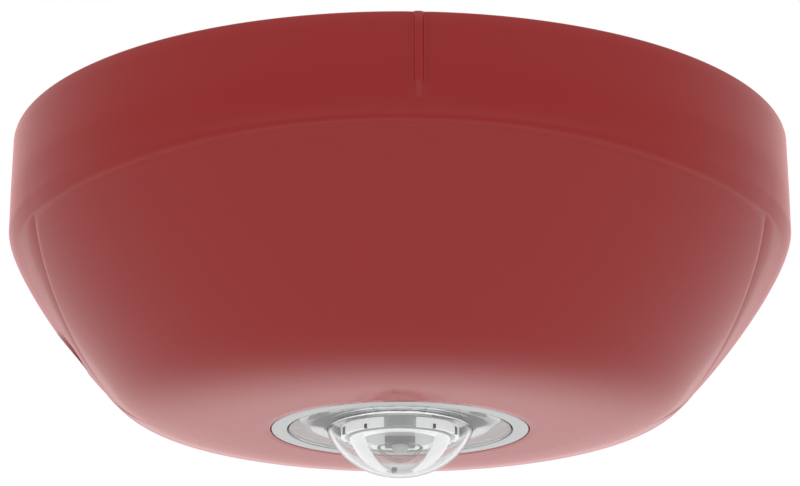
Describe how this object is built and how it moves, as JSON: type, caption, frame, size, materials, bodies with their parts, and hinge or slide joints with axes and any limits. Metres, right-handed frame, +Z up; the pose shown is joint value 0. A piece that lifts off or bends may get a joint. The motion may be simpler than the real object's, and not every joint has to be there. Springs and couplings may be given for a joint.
{
  "type": "horn strobe",
  "caption": "Round red ceiling horn strobe with a shallow bowl, a flush clear lens with a bullet-shaped centre and a side sound outlet, on a twist-lock base.",
  "frame": {"origin": "centre of the ceiling face of the mounting base", "axes": "+Z up into the ceiling, -Y towards the front of the housing with the alignment rib, -X towards the sound outlet"},
  "size_m": [0.114, 0.1143, 0.0475],
  "materials": {
    "red_plastic": "smooth glossy moulded plastic with soft reflections",
    "base_plastic": "fine satin moulding",
    "clear_lens": "clear polished polycarbonate",
    "frosted_ring": "pale frosted translucent plastic",
    "seal_rubber": "soft red silicone rubber",
    "white_plastic": "bright white moulded plastic",
    "led_package": "pale grey ceramic-look package",
    "led_silicone": "pale silicone dome",
    "pale_board": "white solder mask",
    "chip_black": "moulded epoxy",
    "black_plastic": "satin moulded plastic",
    "brass": "rolled brass",
    "piezo_white": "fired ceramic disc with a silvered face",
    "board_green": "green solder mask",
    "capacitor_sleeve": "shrunk dark sleeve",
    "ferrite": "pressed ferrite",
    "bobbin": "ivory bobbin wound with enamelled wire",
    "switch_body": "moulded switch body",
    "slider_white": "white sliders",
    "cover_plastic": "ivory satin moulding",
    "steel": "zinc plated steel"
  },
  "bodies": {
    "base": {"base_contact_1": "brass", "base_contact_2": "brass", "base_contact_3": "brass", "base_contact_4": "brass", "mounting_base": "base_plastic", "terminal_clamp_1": "steel", "terminal_clamp_2": "steel", "terminal_clamp_3": "steel", "terminal_clamp_4": "steel", "terminal_screw_1": "steel", "terminal_screw_2": "steel", "terminal_screw_3": "steel", "terminal_screw_4": "steel"},
    "head": {"back_cover": "cover_plastic", "boost_inductor": "ferrite", "bridge_rectifier": "chip_black", "capacitor": "capacitor_sleeve", "contact_blade_1": "brass", "contact_blade_2": "brass", "contact_blade_3": "brass", "contact_blade_4": "brass", "cover_screw_1": "steel", "cover_screw_2": "steel", "cover_screw_3": "steel", "horn_cap": "black_plastic", "horn_chamber": "black_plastic", "horn_transformer": "bobbin", "led_board": "pale_board", "led_dome": "led_silicone", "led_driver": "chip_black", "led_resistor_1": "chip_black", "led_resistor_2": "chip_black", "lens": "clear_lens", "lens_ring": "frosted_ring", "lens_seal": "seal_rubber", "main_board": "board_green", "microcontroller": "chip_black", "option_switch": "switch_body", "outer_housing": "red_plastic", "piezo_ceramic": "piezo_white", "piezo_plate": "brass", "reflector": "white_plastic", "strobe_led": "led_package", "strobe_link": "black_plastic"},
    "slider_1": {"option_slider_1": "slider_white"},
    "slider_2": {"option_slider_2": "slider_white"},
    "slider_3": {"option_slider_3": "slider_white"},
    "slider_4": {"option_slider_4": "slider_white"}
  },
  "joints": [
    {"name": "head_twist", "type": "hinge", "parent": "base", "child": "head", "pos_m": [0, 0, 0], "axis": [0, 0, 1], "range_deg": [0, 20]},
    {"name": "option_slide_1", "type": "slide", "parent": "head", "child": "slider_1", "axis": [0, 1, 0], "range_m": [0, 0.0013]},
    {"name": "option_slide_2", "type": "slide", "parent": "head", "child": "slider_2", "axis": [0, 1, 0], "range_m": [0, 0.0013]},
    {"name": "option_slide_3", "type": "slide", "parent": "head", "child": "slider_3", "axis": [0, 1, 0], "range_m": [0, 0.0013]},
    {"name": "option_slide_4", "type": "slide", "parent": "head", "child": "slider_4", "axis": [0, 1, 0], "range_m": [0, 0.0013]}
  ]
}
